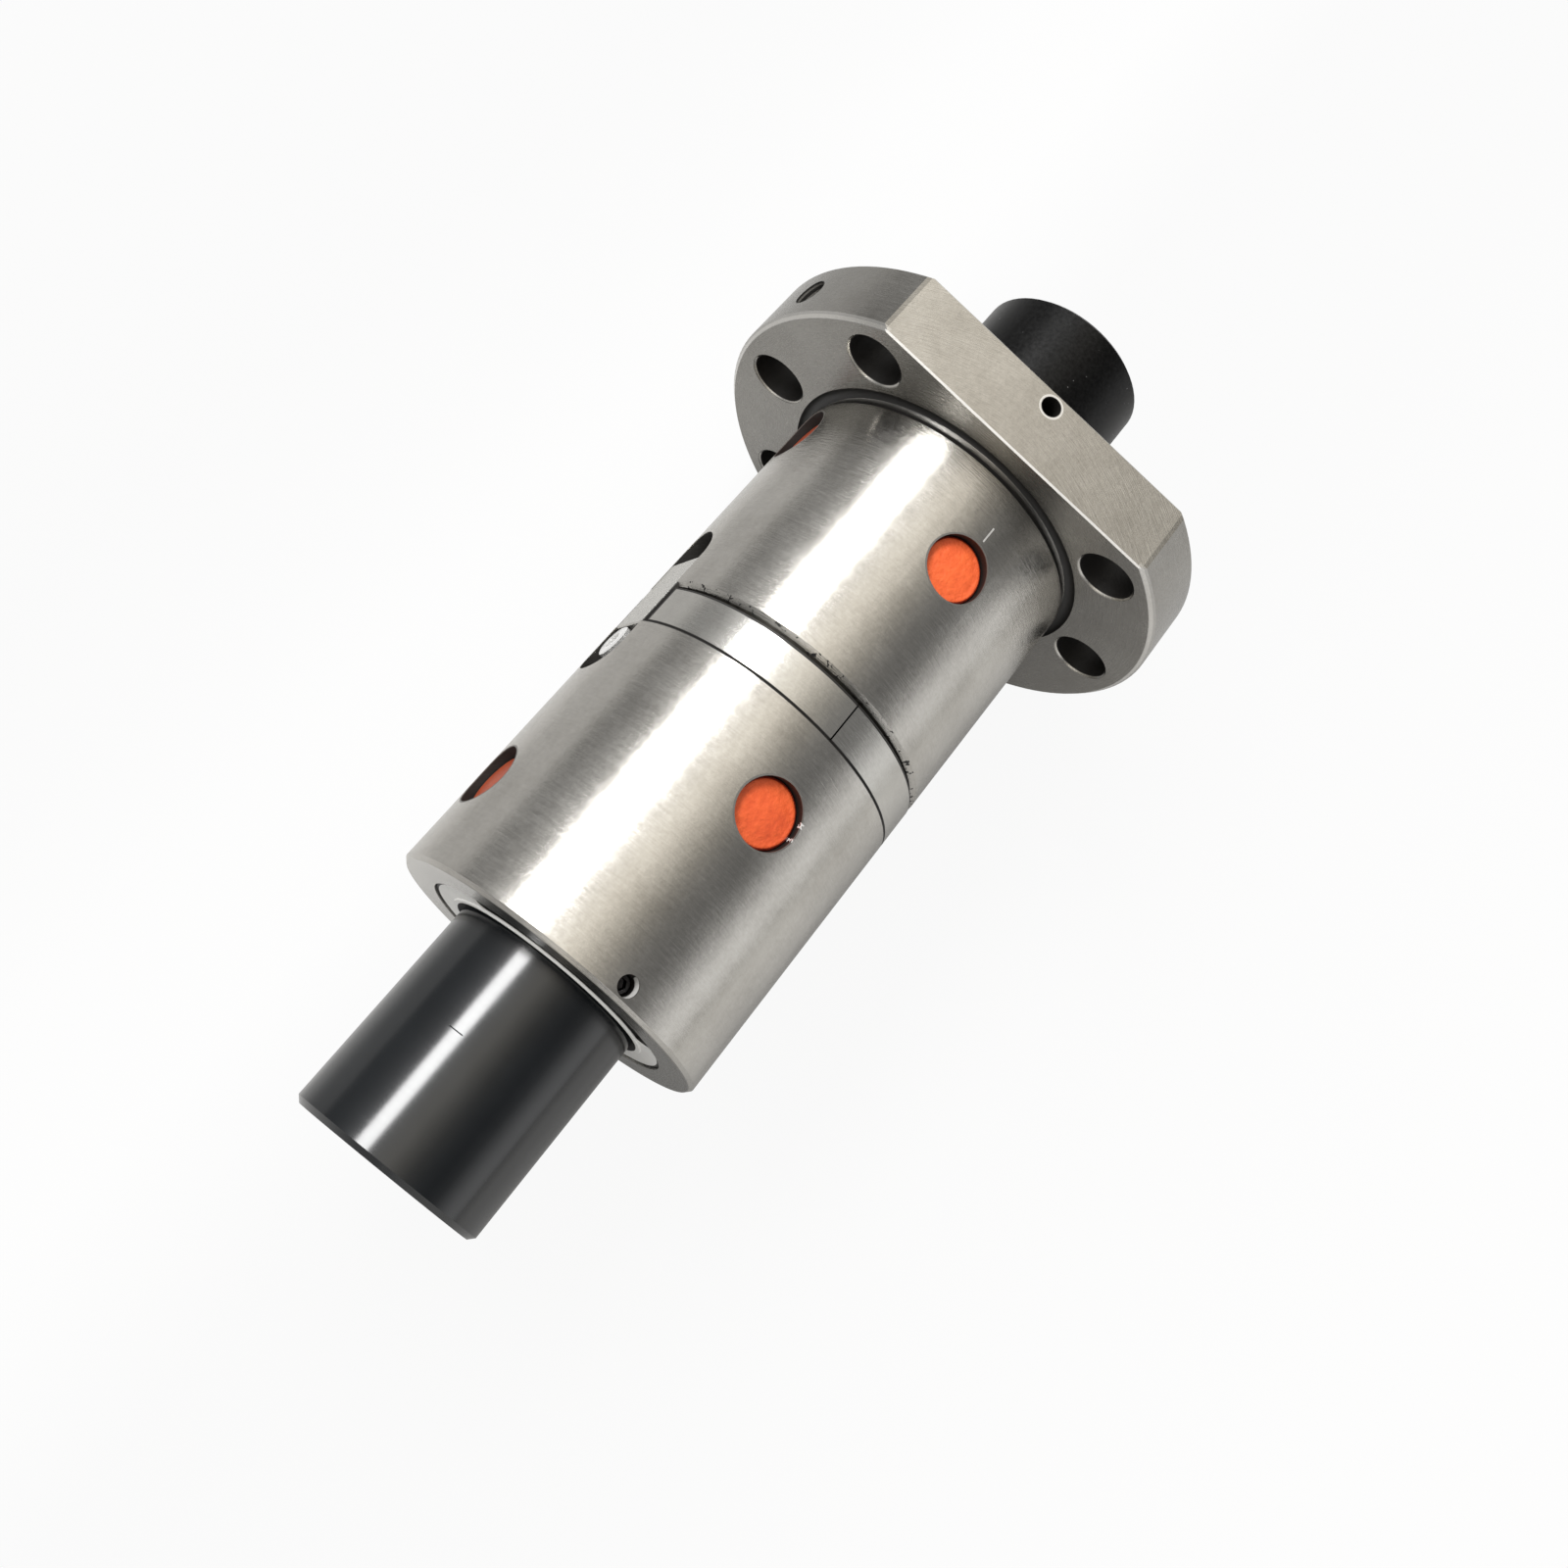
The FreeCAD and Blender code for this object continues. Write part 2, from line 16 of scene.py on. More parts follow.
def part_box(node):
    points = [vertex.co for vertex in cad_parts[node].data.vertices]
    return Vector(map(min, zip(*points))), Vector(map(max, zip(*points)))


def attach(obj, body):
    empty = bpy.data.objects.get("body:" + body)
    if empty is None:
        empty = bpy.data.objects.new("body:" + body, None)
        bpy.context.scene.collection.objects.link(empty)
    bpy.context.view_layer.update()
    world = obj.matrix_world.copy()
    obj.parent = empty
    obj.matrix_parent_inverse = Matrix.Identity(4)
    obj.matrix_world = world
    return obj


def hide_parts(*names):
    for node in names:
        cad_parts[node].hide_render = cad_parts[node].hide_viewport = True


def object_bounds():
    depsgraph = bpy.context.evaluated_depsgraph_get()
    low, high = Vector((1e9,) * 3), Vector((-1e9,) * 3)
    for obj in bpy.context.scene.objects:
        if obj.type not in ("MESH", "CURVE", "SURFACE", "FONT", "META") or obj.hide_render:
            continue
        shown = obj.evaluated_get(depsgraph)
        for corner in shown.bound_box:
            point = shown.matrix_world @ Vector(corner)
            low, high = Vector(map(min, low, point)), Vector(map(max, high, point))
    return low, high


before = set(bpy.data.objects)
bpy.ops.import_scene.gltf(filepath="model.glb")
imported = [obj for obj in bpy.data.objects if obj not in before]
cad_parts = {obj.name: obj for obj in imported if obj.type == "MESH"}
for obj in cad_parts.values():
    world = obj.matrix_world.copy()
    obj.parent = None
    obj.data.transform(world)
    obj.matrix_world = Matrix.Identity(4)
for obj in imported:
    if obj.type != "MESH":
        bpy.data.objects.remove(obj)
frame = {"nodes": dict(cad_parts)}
cad_box = [list(corner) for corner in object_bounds()]
nodes = frame["nodes"]
print("nodes", len(nodes), "box", cad_box)

# %% [markdown]
# The camera stands where the photographer stood. Its place, direction and lens were fitted to
# edges of known size in the photograph: the nut's rims, the flange and its bolt circle. The frame
# is square, and the object sits left of its middle, which the lens shift takes up.

# %% Camera
IMAGE = 1600
FOCAL_PX = 1606.83
CENTRE_PX = (884.24, 697.97)
CAMERA_AT = Vector((-0.120889, 0.018777, 0.218673))
CAMERA_RIGHT = Vector((0.583340, -0.738044, 0.339124))
CAMERA_UP = Vector((0.713835, 0.665042, 0.219453))

lens = bpy.data.cameras.new("camera")
lens.sensor_width = 36.0
lens.lens = lens.sensor_width * FOCAL_PX / IMAGE
lens.shift_x = (IMAGE / 2 - CENTRE_PX[0]) / IMAGE
lens.shift_y = (CENTRE_PX[1] - IMAGE / 2) / IMAGE
lens.clip_start = 0.01
lens.clip_end = 20.0
camera = bpy.data.objects.new("camera", lens)
bpy.context.scene.collection.objects.link(camera)
back = CAMERA_RIGHT.cross(CAMERA_UP)
turn = Matrix((CAMERA_RIGHT, CAMERA_UP, back)).transposed()
camera.matrix_world = Matrix.Translation(CAMERA_AT) @ turn.to_4x4()
bpy.context.scene.camera = camera
print("lens", round(lens.lens, 2), "shift", round(lens.shift_x, 4), round(lens.shift_y, 4))

# %% [markdown]
# Materials are written as arithmetic. `Value` wraps the output socket of a node, so that
# `noise * 0.2 + 0.5` adds two Math nodes. A comparison gives 1 where it holds and 0 elsewhere.

# %% Values
class Value:
    """A number that a node gives, which Python's operators turn into Math nodes."""

    def __init__(self, paint, socket):
        self.paint = paint
        self.socket = socket

    def math(self, operation, first, second=None):
        values = {0: first} if second is None else {0: first, 1: second}
        return self.paint.node("ShaderNodeMath", {"operation": operation}, values)

    def __add__(self, other):
        return self.math("ADD", self, other)

    def __mul__(self, other):
        return self.math("MULTIPLY", self, other)

    def __sub__(self, other):
        return self.math("SUBTRACT", self, other)

    def __rsub__(self, other):
        return self.math("SUBTRACT", other, self)

    def __truediv__(self, other):
        return self.math("DIVIDE", self, other)

    def __pow__(self, other):
        return self.math("POWER", self, other)

    def __gt__(self, other):
        return self.math("GREATER_THAN", self, other)

    def __lt__(self, other):
        return self.math("LESS_THAN", self, other)

    def arctan2(self, other):
        return self.math("ARCTAN2", self, other)

    def sqrt(self):
        return self.math("SQRT", self)

    def abs(self):
        return self.math("ABSOLUTE", self)

    def low(self, other):
        return self.math("MINIMUM", self, other)

    def high(self, other):
        return self.math("MAXIMUM", self, other)


# %% [markdown]
# `Nodes` adds every other kind of node, to a material or to the world, and feeds its inputs with
# values or plain numbers. `Paint` is the same for a material with one Principled shader.

# %% Nodes and paints
class Nodes:
    """A node tree under construction, of a material or of the world."""

    def __init__(self, tree):
        self.tree = tree

    def node(self, kind, settings=None, inputs=None, output=0):
        made = self.tree.nodes.new(kind)
        for name, value in (settings or {}).items():
            if name == "stops":
                self.stops(made.color_ramp, value)
            else:
                setattr(made, name, value)
        for name, value in (inputs or {}).items():
            self.feed(made.inputs[name], value)
        return Value(self, made.outputs[output])

    def stops(self, ramp, stops):
        while len(ramp.elements) < len(stops):
            ramp.elements.new(0.5)
        for element, (place, colour) in zip(ramp.elements, stops):
            element.position = place
            element.color = (*colour, 1.0)

    def feed(self, socket, value):
        if isinstance(value, Value):
            self.tree.links.new(value.socket, socket)
        else:
            socket.default_value = value

    def place(self):
        """Object coordinates, in metres, as a vector."""
        return self.node("ShaderNodeTexCoord", output="Object")

    def xyz(self, vector):
        split = self.node("ShaderNodeSeparateXYZ", inputs={0: vector})
        outputs = split.socket.node.outputs
        return [Value(self, outputs[name]) for name in "XYZ"]

    def vector(self, x, y, z):
        return self.node("ShaderNodeCombineXYZ", inputs={"X": x, "Y": y, "Z": z})

    def noise(self, vector, scale, detail=3.0, roughness=0.55):
        inputs = {"Vector": vector, "Scale": scale, "Detail": detail, "Roughness": roughness}
        return self.node("ShaderNodeTexNoise", inputs=inputs)

    def colour_mix(self, share, first, second):
        inputs = {"Factor": share, 6: (*first, 1.0) if isinstance(first, tuple) else first,
                  7: (*second, 1.0) if isinstance(second, tuple) else second}
        return self.node("ShaderNodeMix", {"data_type": "RGBA"}, inputs, output=2)

    def ramp(self, share, stops):
        return self.node("ShaderNodeValToRGB", {"stops": stops}, {"Fac": share})

    def bump(self, height, distance, strength):
        inputs = {"Height": height, "Distance": distance, "Strength": strength}
        return self.node("ShaderNodeBump", inputs=inputs)


class Paint(Nodes):
    """A material with one Principled shader."""

    def __init__(self, name):
        self.material = bpy.data.materials.new(name)
        self.material.use_nodes = True
        super().__init__(self.material.node_tree)
        self.shader = self.tree.nodes["Principled BSDF"]

    def set(self, **inputs):
        for name, value in inputs.items():
            self.feed(self.shader.inputs[name.replace("_", " ")], value)


# %% [markdown]
# The nuts are hardened and ground steel. Grinding leaves very fine marks that run round the axis,
# and a film of preserving oil makes broad, weak clouds. Noise that is squeezed along the axis and
# long round it gives the marks, and adding the distance from the axis to the place along it makes
# the same pattern run in circles on the end faces. The marks change the roughness more than the
# height, so they fray the edges of a highlight without looking engraved.

# %% Steel
# The black paints both real dirt and painted shade; the bright metal colour paints highlights.
DIRT_AND_SHADE_BLACK = (0.010, 0.009, 0.008)
PAINTED_HIGHLIGHT_METAL = (0.90, 0.89, 0.87)
MARKS_ALONG, MARKS_ROUND = 4600.0, 330.0  # marks per metre
MARK_HEIGHT = 0.00006


def steel(name, dark, light, gloss, streaks=0.16, shade_and_dirt=None, painted_highlight=None, turned=None):
    """Ground steel; the functions give masks for dirt and painted shade, for painted highlights on
    bright edges, and for dull turned faces, which also carry painted shade.
    """
    paint = Paint(name)
    x, y, z = paint.xyz(paint.place())
    radius = (y * y + z * z).sqrt()
    ground = paint.vector((x + radius) * MARKS_ALONG, y * MARKS_ROUND, z * MARKS_ROUND)
    marks = paint.noise(ground, 1.0, 4.0, 0.72)
    film = paint.noise(paint.place(), 95.0, 5.0, 0.68)
    specks = paint.noise(paint.place(), 1300.0, 2.0, 0.6)
    tone = film * 0.5 + marks * 0.3 + specks * 0.2
    colour = paint.ramp(tone, [(0.33, dark), (0.66, light)])
    rough = marks * streaks + film * 0.12 + (gloss - streaks / 2 - 0.06)
    height = marks * 0.85 + specks * 0.15
    metal = 1.0
    if turned:
        dull_and_shaded = turned(paint, x, y, z, radius)
        colour = paint.colour_mix(dull_and_shaded, colour, (0.0, 0.0, 0.0))
        rough = rough + dull_and_shaded * 0.15
    if painted_highlight:
        highlight_share = painted_highlight(paint, x, y, z, radius)
        colour = paint.colour_mix(highlight_share, colour, PAINTED_HIGHLIGHT_METAL)
        rough = rough * (1 - highlight_share * 0.4)
        metal = 1 - highlight_share * 0.6
    if shade_and_dirt:
        darkening = shade_and_dirt(paint, x, y, z, radius)
        colour = paint.colour_mix(darkening, colour, DIRT_AND_SHADE_BLACK)
        rough = rough * (1 - darkening) + darkening * 0.5
        metal = (1 - darkening) * metal
    paint.set(Base_Color=colour, Metallic=metal, Roughness=rough,
              Normal=paint.bump(height, MARK_HEIGHT, 1.0))
    return paint.material


# %% [markdown]
# The cut walls of holes and slots were never ground. They keep a nearly black scale and old oil, and
# they are painted darker still as the shade in their recess. Dirt gathers in the joints between the
# rings. These places are found by distance: nearer to a hole's axis than its wall, deeper than the
# skin of a nut, or within a hair of a joint.

# %% Masks by distance
def about(paint, value, middle, half):
    """1 where a value lies within half of the middle."""
    settings = {"operation": "COMPARE"}
    return paint.node("ShaderNodeMath", settings, {0: value, 1: middle, 2: half})


def patch(paint, x, y, at, half):
    """1 in a small rectangle, seen from above: its middle and half sizes along X and Y."""
    return about(paint, x, at[0], half[0]) * about(paint, y, at[1], half[1])


def in_bolt_hole(y, z, hole_r, circle_r):
    """1 in the six holes of the flange: four at 45 degrees, two on the Y axis."""
    side = circle_r * math.sqrt(0.5)
    corner = ((y.abs() - side) ** 2.0 + (z.abs() - side) ** 2.0).sqrt()
    flank = ((y.abs() - circle_r) ** 2.0 + z * z).sqrt()
    return corner.low(flank) < hole_r


def aside(y, z, angle):
    """Distance, with its sign, from the plane that stands on the nut axis at an angle."""
    return y * -math.sin(angle) + z * math.cos(angle)


def from_upright(x, y, z, at_x, angle):
    """Distance from a line that stands on the nut axis at an angle."""
    off = aside(y, z, angle)
    return ((x - at_x) ** 2.0 + off * off).sqrt()


# %% [markdown]
# All places are read from the CAD nodes, so that nothing has to be fitted twice. The box of a nut
# gives its skin and ends, and the middle of a screw or plug gives the place and angle of its hole.
# Only the key and the oil port have no piece that tells their angle.

# %% Places
MM = 0.001
KEY_ANGLE = math.radians(12.5)
OIL_PORT_ANGLE = math.radians(22.5)
UPRIGHT = math.pi / 2


def middle_of(node):
    low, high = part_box(node)
    return (low + high) / 2


def angle_of(point):
    """Angle of a point about the nut axis, from +Y towards +Z."""
    return math.atan2(point.z, point.y)


rear_low, rear_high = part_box("rear_nut")
flange_low, flange_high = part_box("flange_nut")
nut_r = rear_high.y
rear_end, rear_joint = rear_low.x, rear_high.x
spacer_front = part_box("preload_shim")[0].x
body_end = flange_low.x
flange_r, flat_z = flange_high.y, flange_high.z
oil_port_x = flange_high.x / 2
flat_hole_x = middle_of("flange_wiper_screw").x
rear_hole = middle_of("rear_wiper_screw")
plug_nodes = ["seal_plug_%d" % number for number in range(1, 7)]
rear_plugs = [node for node in plug_nodes if middle_of(node).x < rear_joint]
flange_plugs = [node for node in plug_nodes if node not in rear_plugs]
print("nut radius", round(nut_r, 4), "joints at", round(rear_joint, 4), round(body_end, 4))

# %% [markdown]
# The rear nut has three kinds of dark places: everything below its ground skin, dark with scale and
# painted shade, the joint to the spacer, and thin rings of painted shade round the mouths of its plug
# holes. The wall of its small screw hole gets a painted glint on one side, and two burrs beside a
# plug get painted glints.

# %% Dark places and painted glints of the rear nut
SKIN = 0.12 * MM
PLUG_MOUTH_R = 5.0 * MM
SCREW_HOLE_R = 1.66 * MM
BURR_GLINTS = [((-59.1 * MM, -10.9 * MM), 0.34 * MM), ((-61.3 * MM, -11.0 * MM), 0.30 * MM)]


def plug_mouth_shade(paint, x, y, z, radius, plugs):
    """Painted shade in thin rings round the mouths of the plug holes."""
    ring = 0.0
    for node in plugs:
        at = middle_of(node)
        angle = angle_of(at)
        away = from_upright(x, y, z, at.x, angle)
        outward = y * math.cos(angle) + z * math.sin(angle)
        ring = (about(paint, away, PLUG_MOUTH_R, 0.24 * MM) * (outward > 0.0)).high(ring)
    return ring * (radius > nut_r - 2 * MM) * 0.75


# Painted glints: one side of the screw hole's wall, and two burrs beside a plug.
def rear_nut_painted_glints(paint, x, y, z, radius):
    away = from_upright(x, y, z, rear_hole.x, angle_of(rear_hole))
    depth = about(paint, radius, nut_r - 0.9 * MM, 0.7 * MM)
    glint = (away < SCREW_HOLE_R) * (y < rear_hole.y - 1.05 * MM) * depth * (z > 0.0)
    (first, first_half), (second, second_half) = BURR_GLINTS
    burr_glint = patch(paint, x, y, first, (first_half, first_half)).high(
        patch(paint, x, y, second, (second_half, second_half)))
    return glint.high(burr_glint * (paint.noise(paint.place(), 2600.0, 1.0) > 0.48) * (z > 0.0))


# Dark scale and painted shade below the skin, dirt in the joint, and painted shade round the plug
# mouths; nothing is darkened where a glint is painted.
def rear_nut_dirt_and_shade(paint, x, y, z, radius):
    inside = (radius < nut_r - SKIN) * (x > rear_end + 0.75 * MM) * (x < rear_joint - 0.3 * MM)
    seam = about(paint, x, rear_joint, 0.25 * MM)
    mouth_shade = plug_mouth_shade(paint, x, y, z, radius, rear_plugs)
    glint = rear_nut_painted_glints(paint, x, y, z, radius)
    return inside.high(seam).high(mouth_shade) * (1 - glint)


def rear_end_dull_and_shade(paint, x, y, z, radius):
    """The end face, which was turned and not ground, so duller; towards -Y it is darker still, a
    painted shade.
    """
    return (x < rear_end + 0.1 * MM) * (0.28 - y * 10.0)


# %% [markdown]
# The flanged nut adds drilled holes. The six bolt holes and the screw hole in the flat are dark
# inside with scale and painted shade, the oil port shows its thread as rings of two greys, the
# lighter rings a painted glint, and crumbs of dirt hang on the edge at the spacer. Where the body
# meets the flange, a groove is turned into both for the grinding wheel to run out; its walls are
# painted black as shade and its floor is dull.

# %% Dark places of the flanged nut
BOLT_HOLE_R, BOLT_CIRCLE_R = 4.56 * MM, 32.5 * MM
FLAT_HOLE_R, FLAT_COUNTERSINK_R = 1.6 * MM, 1.93 * MM
OIL_PORT_R = 2.6 * MM
GROOVE_BODY = (-1.42 * MM, -0.46 * MM)
GROOVE_FLANGE = (-0.5 * MM, 1.6 * MM)


# Dark inside with scale and painted shade; the lighter rings are a painted glint on the thread.
def in_oil_port(paint, x, y, z, radius):
    away = from_upright(x, y, z, oil_port_x, OIL_PORT_ANGLE)
    port = (away < OIL_PORT_R) * (y > 0.0) * (radius > 25 * MM)
    settings = {"operation": "PINGPONG"}
    thread = paint.node("ShaderNodeMath", settings, {0: radius * 1000.0, 1: 0.4}) > 0.26
    return port * (1 - thread * (radius > flange_r - 3.0 * MM) * 0.45)


# Painted shade: the walls of the grinding groove are painted black.
def painted_groove_shade(paint, x, radius):
    body = (radius < nut_r - 0.1 * MM) * (x > GROOVE_BODY[0]) * (x < GROOVE_BODY[1])
    depth = about(paint, x, 0.5 * MM, 0.48 * MM)
    flange = (radius > nut_r + GROOVE_FLANGE[0]) * (radius < nut_r + GROOVE_FLANGE[1]) * depth
    return body.high(flange)


# Scale and painted shade in the holes, crumbs of dirt at the spacer, and painted shade in the groove
# and round the plug mouths.
def flange_nut_dirt_and_shade(paint, x, y, z, radius):
    inside = (radius < nut_r - SKIN) * (x > body_end + 0.85 * MM) * (x < -1.9 * MM)
    bolt_hole = in_bolt_hole(y, z, BOLT_HOLE_R, BOLT_CIRCLE_R) * (x > -0.1 * MM)
    from_flat_hole = from_upright(x, y, z, flat_hole_x, UPRIGHT)
    flat_hole = (from_flat_hole < FLAT_HOLE_R) * (z > 0.0) * (radius > 20 * MM)
    port = in_oil_port(paint, x, y, z, radius)
    blots = paint.noise(paint.place(), 1100.0, 2.0) > 0.60
    edge = (x < body_end + 0.75 * MM) * (radius < nut_r - 0.02 * MM) * (radius > 23.5 * MM)
    groove_shade = painted_groove_shade(paint, x, radius)
    mouth_shade = plug_mouth_shade(paint, x, y, z, radius, flange_plugs)
    holes = inside.high(bolt_hole).high(flat_hole).high(port)
    return holes.high(blots * edge).high(groove_shade).high(mouth_shade)


# %% [markdown]
# The flange's back and rim and the floor of the groove were only turned, so they are duller than the
# ground body, and the back is darkened more towards +Y as painted shade. Cut edges get a painted
# highlight: the countersink of the hole in the flat, the back edge of the flat and the rim's edge;
# one fine scratch beside a plug gets a painted glint.

# %% Dull places, painted shade and painted highlights of the flanged nut
# Duller turned faces; the back is darkened more towards +Y as painted shade.
def flange_nut_dull_and_shade(paint, x, y, z, radius):
    face = (x > -0.02 * MM) * (x < 0.1 * MM) * (radius > nut_r + SKIN) * (y * 3.0 + 0.40)
    rim = (radius > flange_r - 0.4 * MM) * (x > 0.5 * MM) * 0.36
    groove_floor = (radius < nut_r - 0.45 * MM) * about(paint, x, -0.14 * MM, 0.32 * MM) * 0.65
    return face.high(rim).high(groove_floor)


SCRATCH_AT, SCRATCH_HALF = (-8.9 * MM, -5.5 * MM), (1.4 * MM, 0.13 * MM)


# Painted highlights on the cut edges, and a painted glint along the scratch.
def flange_nut_painted_highlights(paint, x, y, z, radius):
    away = from_upright(x, y, z, flat_hole_x, UPRIGHT)
    countersink = (away < FLAT_COUNTERSINK_R) * (z > flat_z - 0.5 * MM) * 0.6
    flat_edge = (z > flat_z - 0.26 * MM) * (x < 0.26 * MM) * (x > 0.0) * (radius < flange_r)
    rim_edge = (x < 0.8 * MM) * (x > 0.02 * MM) * (radius > flange_r - 0.8 * MM) * 0.25
    scratch = patch(paint, x, y, SCRATCH_AT, SCRATCH_HALF) * (z > 0.0) * 0.7
    return countersink.high(flat_edge).high(rim_edge).high(scratch)


# %% [markdown]
# The small pieces between the nuts are darkened only where they meet a neighbour: dirt in the joints
# and painted shade in the gaps. The key's screw is zinc plated and stands deep in its hole, which
# takes some of its light; its head gets a painted highlight.

# %% Places of the small pieces
def key_side_shade(paint, x, y, z, radius):
    """The narrow side faces of the key, painted dark as the shade in the keyway."""
    return aside(y, z, KEY_ANGLE).abs() > 4.86 * MM


def spacer_joints_and_shade(paint, x, y, z, radius):
    """The two joints of the spacer, its inside, and its ends beside the key; the inside and the ends
    beside the key are painted shade.
    """
    rear_seam = about(paint, x, rear_joint, 0.2 * MM)
    front_seam = about(paint, x, spacer_front, 0.42 * MM)
    key_side = (aside(y, z, KEY_ANGLE).abs() < 6.6 * MM) * (y > 0.0)
    return rear_seam.high(front_seam).high(radius < nut_r - 0.35 * MM).high(key_side)


def zinc_head_highlight(paint, x, y, z, radius):
    """The head of the key's screw, lighter and less metallic than its shank: a painted highlight."""
    return (radius > nut_r - 2.6 * MM) * 0.45


# %% [markdown]
# The steels differ in tone and gloss: light ground skins, a shim painted dark as the shade of its
# groove, polished balls, milled return buttons, zinc plate and black oxide.

# %% The steels
nut_dark, nut_light = (0.430, 0.413, 0.380), (0.600, 0.582, 0.545)
flange_steel = steel("flange_nut_steel", nut_dark, nut_light, 0.20, 0.24,
                     flange_nut_dirt_and_shade, flange_nut_painted_highlights, flange_nut_dull_and_shade)
rear_steel = steel("rear_nut_steel", nut_dark, nut_light, 0.20, 0.24,
                   rear_nut_dirt_and_shade, rear_nut_painted_glints, rear_end_dull_and_shade)
spacer_steel = steel("spacer_steel", (0.49, 0.475, 0.445), (0.61, 0.60, 0.565), 0.22, 0.18,
                     spacer_joints_and_shade)
# The shim is painted nearly black as the shade of the groove it sits in.
shim_steel = steel("shim_steel", (0.05, 0.047, 0.042), (0.12, 0.115, 0.105), 0.45)
key_steel = steel("key_steel", (0.46, 0.45, 0.42), (0.58, 0.57, 0.54), 0.26, shade_and_dirt=key_side_shade)
button_steel = steel("button_steel", (0.26, 0.25, 0.23), (0.36, 0.35, 0.33), 0.40)
ball_steel = steel("ball_steel", (0.62, 0.62, 0.62), (0.72, 0.72, 0.72), 0.12, 0.04)
zinc_steel = steel("zinc_plated_steel", (0.80, 0.81, 0.82), (0.92, 0.93, 0.94), 0.22, 0.10,
                   painted_highlight=zinc_head_highlight)
black_oxide = steel("black_oxide_steel", (0.015, 0.015, 0.016), (0.045, 0.044, 0.045), 0.35)
print("steels made, the last one", black_oxide.name)

# %% [markdown]
# The seal plugs and the wipers are moulded plastic, with a fine grain and slight clouds in its
# colour. A wiper is painted dark as shade in the gap round its rim, at its bore and in its sunken
# crescent, and the plugs low on the key's side are painted darker as shade.

# %% Moulded plastic
def plastic(name, dark, light, gloss, grain_scale, grain_depth, darkening):
    """Plastic with a grain; the function gives the mask of painted shade."""
    paint = Paint(name)
    x, y, z = paint.xyz(paint.place())
    clouds = paint.noise(paint.place(), grain_scale * 0.12, 3.0)
    grain = paint.noise(paint.place(), grain_scale, 3.0, 0.6)
    colour = paint.ramp(clouds * 0.6 + grain * 0.4, [(0.32, dark), (0.68, light)])
    painted_shade = darkening(paint, x, y, z, (y * y + z * z).sqrt())
    colour = paint.colour_mix(painted_shade, colour, DIRT_AND_SHADE_BLACK)
    paint.set(Base_Color=colour, Roughness=grain * 0.16 + (gloss - 0.08),
              Normal=paint.bump(grain, grain_depth, 0.6))
    return paint.material


# Painted shade: the plugs on the +Y side are darkened.
def side_plug_shade(paint, x, y, z, radius):
    return (y > 15 * MM) * 0.6


def wiper_shade(node):
    """The mask of painted shade for one wiper, which needs the middle of its thickness."""
    middle_x = middle_of(node).x

    def darkening(paint, x, y, z, radius):
        sunken = (radius > 16.1 * MM) * ((x - middle_x).abs() < 2.05 * MM)
        return sunken.high(radius > 18.95 * MM).high(radius < 15.5 * MM)
    return darkening


plug_plastic = plastic("plug_plastic", (0.62, 0.078, 0.020), (0.86, 0.140, 0.034),
                       0.5, 900.0, 0.0004, side_plug_shade)
shaded_plug_rim_plastic = plastic("shaded_plug_rim_plastic", (0.20, 0.016, 0.006), (0.38, 0.035, 0.012),
                           0.45, 900.0, 0.0002, side_plug_shade)
wiper_white = (0.84, 0.84, 0.825), (0.95, 0.95, 0.935)
rear_wiper_plastic = plastic("rear_wiper_plastic", *wiper_white,
                             0.5, 2000.0, 0.00002, wiper_shade("rear_wiper"))
flange_wiper_plastic = plastic("flange_wiper_plastic", *wiper_white,
                               0.5, 2000.0, 0.00002, wiper_shade("flange_wiper"))
print("plastics made, the last one", flange_wiper_plastic.name)

# %% [markdown]
# The arbor is a tube turned from black plastic: glossy along most of its length, dull and dusty with
# a few white specks at the far end, where a metallic near-black colour also paints shade by taking
# away most of its reflection, and with one scratch across the bright band near its rear end.

# %% Turned black plastic
FAR_END = 10 * MM
ARBOR_SCRATCH_AT, ARBOR_SCRATCH_HALF = (-105.6 * MM, 5.5 * MM), (0.07 * MM, 1.0 * MM)


def turned_black_plastic(name):
    paint = Paint(name)
    x, y, z = paint.xyz(paint.place())
    lathe = paint.noise(paint.vector(x * 2600.0, y * 120.0, z * 120.0), 1.0, 3.0, 0.6)
    dust = paint.noise(paint.place(), 1500.0, 3.0, 0.7)
    smears = paint.noise(paint.place(), 110.0, 3.0, 0.6)
    specks = (paint.noise(paint.place(), 1500.0, 1.0) > 0.79) * (x > 0.0)
    # The far end: dust, and a metallic near-black colour that paints shade by taking away most of its
    # reflection.
    far_end = x > FAR_END
    near = paint.ramp(smears, [(0.35, (0.0015, 0.0026, 0.0038)), (0.65, (0.0035, 0.0050, 0.0066))])
    far = paint.ramp(dust, [(0.35, (0.003, 0.003, 0.003)), (0.70, (0.012, 0.012, 0.012))])
    colour = paint.colour_mix(far_end, near, far)
    colour = paint.colour_mix(specks * 0.5, colour, (0.40, 0.40, 0.40))
    rough = lathe * 0.05 + smears * 0.06 + 0.11 + far_end * (dust * 0.2 + 0.1)
    scratch = patch(paint, x, y, ARBOR_SCRATCH_AT, ARBOR_SCRATCH_HALF) * (z > 0.0)
    height = lathe * 0.3 + dust * 0.2 - scratch * 3.0
    paint.set(Base_Color=colour, Metallic=far_end * 0.85, Roughness=rough.high(scratch),
              IOR=1.66, Normal=paint.bump(height, 0.000006, 0.5))
    return paint.material


arbor_plastic = turned_black_plastic("arbor_plastic")
print("made", arbor_plastic.name)

# %% [markdown]
# Every CAD node gets the finish of its kind. Its name begins with the kind, and the longest kind
# that fits counts, so that a wiper's screw is not taken for the wiper.

